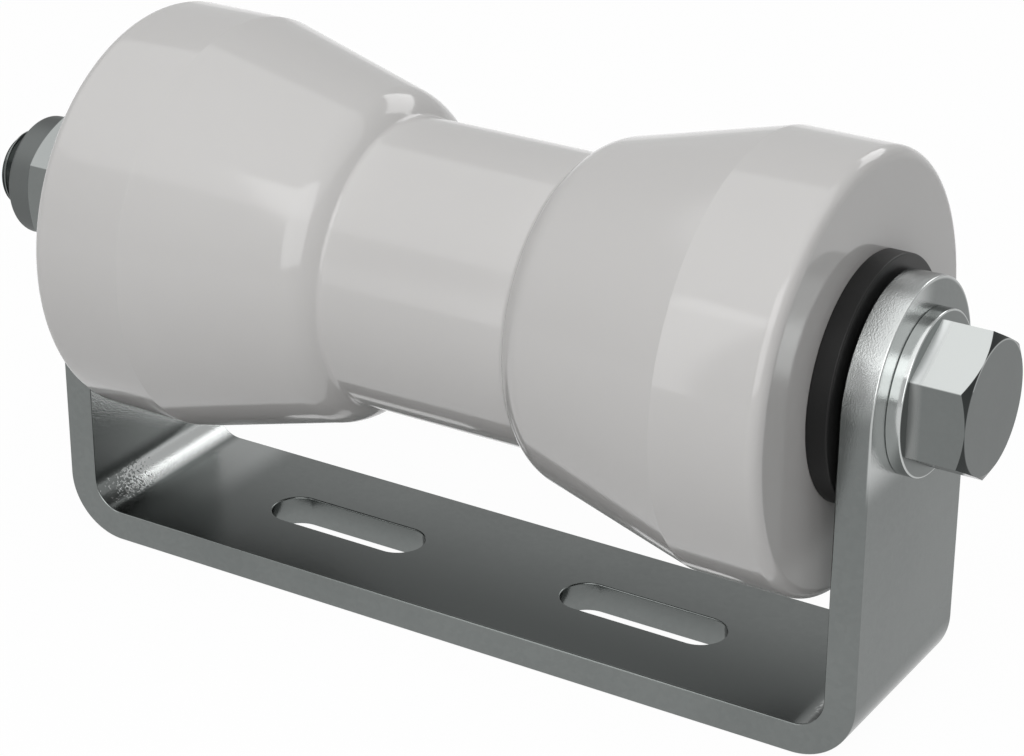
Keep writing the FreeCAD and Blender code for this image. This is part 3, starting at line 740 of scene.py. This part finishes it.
# Washers
# Two plated steel washers, punched from sheet: one between the head and its ear, one between the other
# ear and the nut. The edges of their rims are rounded over.

washer_hole_radius = 0.0105
washer_edge = 0.0003
washer_rim_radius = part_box("washer_head")[1].z - axis_height


def washer_face_mark(tree, place):
    """A washer's flat faces, darker than its rim, which is painted light as a painted highlight."""
    off_axis = from_axis(tree, place)
    return ramp(tree, off_axis, washer_rim_radius - washer_edge, washer_rim_radius - edge_gone)


face_zinc = (0.2, 0.212, 0.208)
# Painted highlight: the washers' own colour is painted light so that their rims shine, and the flat faces
# are marked darker
washer_zinc = zinc_material(
    "washer_zinc", dark=(0.5, 0.516, 0.51), light=(0.54, 0.557, 0.55), rough_low=0.1, rough_high=0.15,
    marks=[(washer_face_mark, face_zinc, 0.3, 0.0)], **plating)
for node, side in (("washer_head", 1), ("washer_nut", -1)):
    low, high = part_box(node)
    inner, outer = sorted((low.x, high.x), key=abs)
    rim = high.z - axis_height
    edge = side * washer_edge
    washer = turned(node + "_ring", (inner, washer_hole_radius), [
        ((inner, rim - washer_edge),),
        ((inner + edge, rim), (inner + edge, rim - washer_edge)),
        ((outer - edge, rim),),
        ((outer, rim - washer_edge), (outer - edge, rim - washer_edge)),
        ((outer, washer_hole_radius + washer_edge),),
        ((outer - edge, washer_hole_radius),),
        ((inner, washer_hole_radius),),
    ], turns=128)
    smooth(washer)
    washer.data.materials.append(washer_zinc)
    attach(washer, "holder")
    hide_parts(node)


# Lock nut
# A cold-formed self-locking nut, zinc plated: a chamfered hexagon with a round collar, whose lip is rolled
# over a plastic ring that grips the thread.

nut_low, nut_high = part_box("lock_nut")
nut_hexagon_height = 0.0135
nut_turn = math.radians(0.2)
nut_edge = 0.00015
nut_mouth = 0.0013
collar_radius = 0.0148
collar_edge = 0.0008
lip_opening = 0.0112
insert_low, insert_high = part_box("nut_insert")
insert_radius = insert_high.z - axis_height
hexagon_end = nut_high.x - nut_hexagon_height
nut = hexagon("lock_nut_body", hexagon_end, nut_high.x, head_corner_radius, nut_turn)
combine(nut, chamfer_gauge("nut_gauge", hexagon_end, nut_high.x, head_flat_radius, head_corner_radius,
                           True, True), "INTERSECT")
collar = turned("nut_collar", (nut_high.x - nut_hexagon_height / 2, 0.0), [
    ((nut_high.x - nut_hexagon_height / 2, collar_radius),),
    ((nut_low.x + collar_edge, collar_radius),),
    ((nut_low.x, collar_radius - collar_edge), (nut_low.x + collar_edge, collar_radius - collar_edge)),
    ((nut_low.x, 0.0),),
], turns=128)
combine(nut, collar, "UNION")
nut_bore = turned("nut_bore", (nut_high.x + overlap, 0.0), [
    ((nut_high.x + overlap, shank_radius + nut_mouth),),
    ((nut_high.x - nut_mouth, shank_radius),),
    ((insert_high.x, shank_radius),),
    ((insert_high.x, insert_radius),),
    ((insert_low.x, insert_radius),),
    ((insert_low.x, lip_opening),),
    ((nut_low.x - overlap, lip_opening),),
    ((nut_low.x - overlap, 0.0),),
], turns=96)
combine(nut, nut_bore, "DIFFERENCE")
soft_edges(nut, nut_edge)


def nut_collar_shade(tree, place):
    """The nut's rolled collar and outer chamfer, rougher and painted darker as painted shade."""
    return beyond_cone(tree, place, hexagon_end, -1)[0]


# Colours of painted light on the nut: a painted highlight on the upper flats and painted shade on the
# collar
nut_flat_highlight_zinc = (0.27, 0.283, 0.279)
collar_shade_zinc = (0.13, 0.138, 0.136)
nut_zinc = zinc_material(
    "nut_zinc", dark=(0.178, 0.189, 0.185), light=(0.192, 0.204, 0.2), rough_low=0.12, rough_high=0.17,
    marks=[(upper_flats_highlight, nut_flat_highlight_zinc, 0.15, 0.0), (nut_collar_shade, collar_shade_zinc, 0.42, 0.5)],
    **plating)
nut.data.materials.clear()
nut.data.materials.append(nut_zinc)
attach(nut, "holder")
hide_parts("lock_nut")


# Nut's ring
# A ring of white nylon inside the nut's collar. The bolt's thread presses into it, and its grip keeps
# the nut from working loose.

insert_edge = 0.0004
insert = turned("nut_insert_ring", (insert_high.x, shank_radius), [
    ((insert_high.x, insert_radius),),
    ((insert_low.x, insert_radius),),
    ((insert_low.x, shank_radius + insert_edge),),
    ((insert_low.x + insert_edge, shank_radius), (insert_low.x + insert_edge, shank_radius + insert_edge)),
    ((insert_high.x, shank_radius),),
], turns=96)
smooth(insert)
white_nylon = moulded_material(
    "white_nylon", dark=(0.66, 0.66, 0.63), light=(0.74, 0.74, 0.71), rough_low=0.4, rough_high=0.5,
    scales={"Mottle Scale": 90.0, "Skin Scale": 2400.0}, bump_strength=0.08, IOR=1.53)
insert.data.materials.append(white_nylon)
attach(insert, "holder")
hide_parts("nut_insert")


# Studio
# A plain pale floor under four soft boxes and a grey sky, and the camera where the photograph was taken
# from. The floor and the sky are bright only where they are seen, mirrored or looked through.

floor_drop = 0.0002
floor_glow = 0.97
floor_tone, floor_seen_tone = 0.5, 0.98
sky_light, sky_seen = 0.06, 0.75
white = (1.0, 1.0, 1.0, 1.0)


def seen_rays(tree):
    """1 for rays that see, mirror or look through to a surface, and 0 for its light on other things."""
    light_path = tree.nodes.new("ShaderNodeLightPath")
    seen = light_path.outputs["Is Camera Ray"]
    for ray in ("Is Glossy Ray", "Is Transmission Ray"):
        seen = merge(tree, "MAXIMUM", seen, light_path.outputs[ray])
    return seen


bpy.ops.object.select_all(action="DESELECT")
bpy.ops.mesh.primitive_plane_add(size=12, location=(0, 0, -floor_drop))
floor = bpy.context.active_object
floor.name = "floor"
floor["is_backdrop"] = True
paper = bpy.data.materials.new("floor_paper")
paper.use_nodes = True
tree = paper.node_tree
tree.nodes.clear()
seen = seen_rays(tree)
glow_share = scaled(tree, seen, floor_glow)
paper_tone = add_node(tree, "ShaderNodeMapRange", {"Value": seen, "To Min": floor_tone,
                                                   "To Max": floor_seen_tone})
paper_colour = add_node(tree, "ShaderNodeCombineColor", {
    label: paper_tone.outputs["Result"] for label in ("Red", "Green", "Blue")})
matt = add_node(tree, "ShaderNodeBsdfDiffuse", {"Color": paper_colour.outputs["Color"]})
glow = add_node(tree, "ShaderNodeEmission", {"Color": white, "Strength": 1.0})
mixed = add_node(tree, "ShaderNodeMixShader", {0: glow_share, 1: matt.outputs["BSDF"],
                                               2: glow.outputs["Emission"]})
clear = add_node(tree, "ShaderNodeBsdfTransparent")
below = add_node(tree, "ShaderNodeNewGeometry")
sided = add_node(tree, "ShaderNodeMixShader", {0: below.outputs["Backfacing"], 1: mixed.outputs["Shader"],
                                               2: clear.outputs["BSDF"]})
output = tree.nodes.new("ShaderNodeOutputMaterial")
tree.links.new(sided.outputs["Shader"], output.inputs["Surface"])
floor.data.materials.append(paper)

sky = bpy.data.worlds.new("studio_sky")
bpy.context.scene.world = sky
sky.use_nodes = True
tree = sky.node_tree
tree.nodes.clear()
seen = seen_rays(tree)
sky_strength = add_node(tree, "ShaderNodeMapRange", {"Value": seen, "To Min": sky_light,
                                                     "To Max": sky_seen})
background = add_node(tree, "ShaderNodeBackground", {"Color": white,
                                                     "Strength": sky_strength.outputs["Result"]})
output = tree.nodes.new("ShaderNodeOutputWorld")
tree.links.new(background.outputs["Background"], output.inputs["Surface"])

object_middle = Vector((0, 0, 0.065))
lamp_distance = 1.3


def soft_box(name, direction, width, height, radiance):
    """A rectangular lamp that faces the object, as bright as a surface of that radiance."""
    lamp = bpy.data.lights.new(name, "AREA")
    lamp.shape = "RECTANGLE"
    lamp.size, lamp.size_y = width, height
    lamp.energy = radiance * math.pi * width * height
    box = bpy.data.objects.new(name, lamp)
    bpy.context.scene.collection.objects.link(box)
    away = Vector(direction).normalized()
    box.location = object_middle + away * lamp_distance
    box.rotation_euler = away.to_track_quat("Z", "Y").to_euler()


soft_box("front_soft_box", (0.32, -0.786, 0.53), width=1.05, height=1.25, radiance=2.2)
soft_box("left_strip_box", (-0.38, -0.778, 0.3), width=0.2, height=1.0, radiance=1.7)
soft_box("back_soft_box", (0.15, 0.853, 0.5), width=0.7, height=0.45, radiance=2.6)
soft_box("overhead_soft_box", (0, -0.208, 0.978), width=2.8, height=2.2, radiance=0.85)

camera_data = bpy.data.cameras.new("photo_camera")
camera = bpy.data.objects.new("photo_camera", camera_data)
bpy.context.scene.collection.objects.link(camera)
bpy.context.scene.camera = camera
camera_azimuth = math.radians(31.71)
camera_elevation = math.radians(25.03)
camera_roll = math.radians(0.16)
camera_target = Vector((0.00566, 0, 0.05903))
camera_distance = 0.6903
camera_back = Vector((math.sin(camera_azimuth) * math.cos(camera_elevation),
                      -math.cos(camera_azimuth) * math.cos(camera_elevation), math.sin(camera_elevation)))
camera.location = camera_target + camera_back * camera_distance
aim = (-camera_back).to_track_quat("-Z", "Y") @ Quaternion((0, 0, 1), camera_roll)
camera.rotation_euler = aim.to_euler()
camera_data.lens = 104.79
camera_data.sensor_width = 36.0
camera_data.clip_start = 0.01

bpy.context.scene.view_settings.view_transform = "Standard"

low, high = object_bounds()
